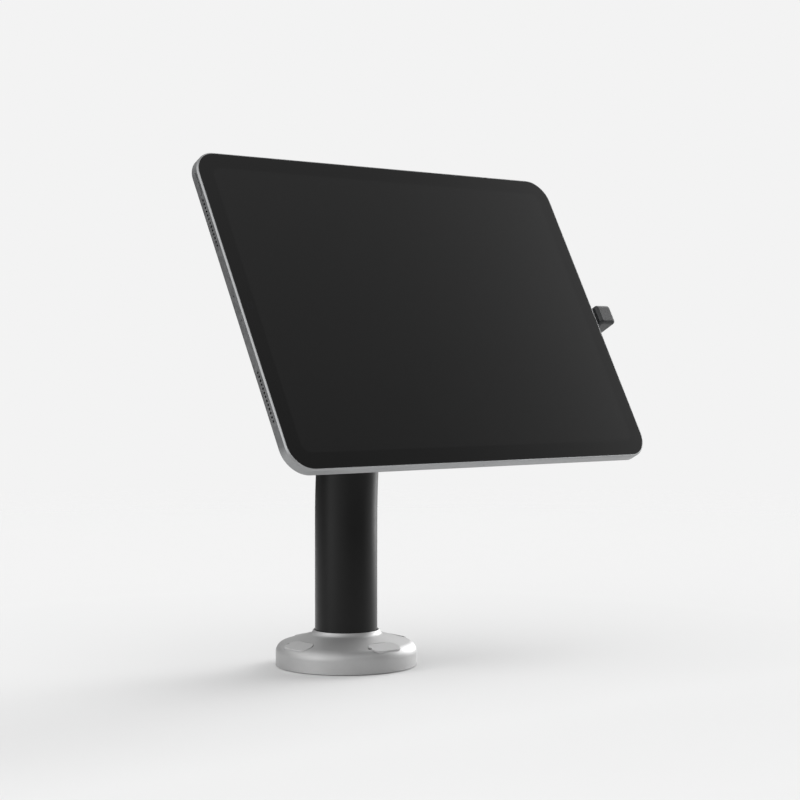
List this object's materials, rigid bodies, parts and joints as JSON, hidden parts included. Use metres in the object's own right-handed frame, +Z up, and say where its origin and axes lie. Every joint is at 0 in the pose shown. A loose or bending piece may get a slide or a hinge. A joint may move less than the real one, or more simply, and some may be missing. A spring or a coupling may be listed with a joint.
{
  "type": "customer pole display",
  "caption": "Counter-mounted customer display: a tablet on a bent pole that swivels in a bolted round base and turns between landscape and portrait.",
  "frame": {"origin": "on the pole's axis at the counter surface, the centre of the counter bolt circle on the base's underside", "axes": "+Z up along the pole's axis, the screen faces -Y (leaning back 28.3 degrees), +X to the viewer's right"},
  "size_m": [0.2633, 0.1546, 0.2757],
  "materials": {
    "rubber": "matte",
    "zinc_steel": "satin",
    "grey_paint": "satin",
    "cap_plastic": "satin",
    "screw_steel": "satin",
    "bearing_plastic": "satin",
    "black_paint": "satin",
    "black_screw": "satin",
    "black_cast": "matte",
    "foam_tape": "matte",
    "tablet_aluminium": "satin",
    "screen_glass": "gloss",
    "panel": "satin",
    "camera_module": "satin",
    "battery": "satin",
    "circuit_board": "satin",
    "shield_metal": "satin",
    "speaker_plastic": "matte",
    "port_metal": "satin",
    "lens_glass": "gloss",
    "flash_plastic": "gloss",
    "arm_plastic": "matte",
    "plug_plastic": "matte"
  },
  "bodies": {
    "base": {"base_gasket": "rubber", "base_plate": "zinc_steel", "base_cover": "grey_paint", "screw_cap_front": "cap_plastic", "screw_cap_right": "cap_plastic", "screw_cap_back": "cap_plastic", "screw_cap_left": "cap_plastic", "cover_screws": "screw_steel", "pole_spigot": "zinc_steel", "spigot_screws": "screw_steel", "thrust_washer": "bearing_plastic", "swivel_stop_pin": "screw_steel", "swivel_friction_washer": "bearing_plastic", "swivel_retaining_ring": "screw_steel"},
    "pole": {"pole_tube": "black_paint", "swivel_bush_lower": "bearing_plastic", "swivel_bush_upper": "bearing_plastic", "neck_flange": "black_paint", "flange_screws": "black_screw", "head_housing": "black_cast", "rotation_bush": "bearing_plastic"},
    "tablet": {"rotation_hub": "zinc_steel", "rotation_stop_pin": "screw_steel", "hub_friction_washer": "bearing_plastic", "hub_washer": "zinc_steel", "hub_retaining_ring": "screw_steel", "hub_screws": "screw_steel", "receiver_plate": "black_cast", "adhesive_pad": "foam_tape", "arm_stop_screw": "black_screw", "rear_housing": "tablet_aluminium", "display_glass": "screen_glass", "display_panel": "panel", "front_camera": "camera_module", "battery_cells": "battery", "logic_board": "circuit_board", "shield_cans": "shield_metal", "speaker_modules": "speaker_plastic", "port_receptacle": "port_metal", "camera_island": "tablet_aluminium", "camera_lens": "lens_glass", "flash_lens": "flash_plastic", "button_switches": "camera_module"},
    "arm": {"port_arm": "arm_plastic", "plug_housing": "plug_plastic", "plug_cover": "plug_plastic", "plug_shell": "port_metal", "plug_board": "circuit_board"},
    "power_key": {"power_button": "tablet_aluminium"},
    "volume_up_key": {"volume_up_button": "tablet_aluminium"},
    "volume_down_key": {"volume_down_button": "tablet_aluminium"}
  },
  "joints": [
    {"name": "pole_swivel", "type": "hinge", "parent": "base", "child": "pole", "pos_m": [0, 0, 0], "axis": [0, 0, 1], "range_deg": [-165, 165]},
    {"name": "screen_rotation", "type": "hinge", "parent": "pole", "child": "tablet", "pos_m": [0, -0.06766, 0.19429], "axis": [0, -0.8806, 0.4738], "range_deg": [0, 90]},
    {"name": "port_arm_slide", "type": "slide", "parent": "tablet", "child": "arm", "axis": [1, 0, 0], "range_m": [0, 0.01]},
    {"name": "power_press", "type": "slide", "parent": "tablet", "child": "power_key", "axis": [1, 0, 0], "range_m": [0, 0.00025], "stiffness_N_per_m": 2000, "springref_m": -0.0003},
    {"name": "volume_up_press", "type": "slide", "parent": "tablet", "child": "volume_up_key", "axis": [0, -0.4738, -0.8806], "range_m": [0, 0.00025], "stiffness_N_per_m": 2000, "springref_m": -0.0003},
    {"name": "volume_down_press", "type": "slide", "parent": "tablet", "child": "volume_down_key", "axis": [0, -0.4738, -0.8806], "range_m": [0, 0.00025], "stiffness_N_per_m": 2000, "springref_m": -0.0003}
  ]
}
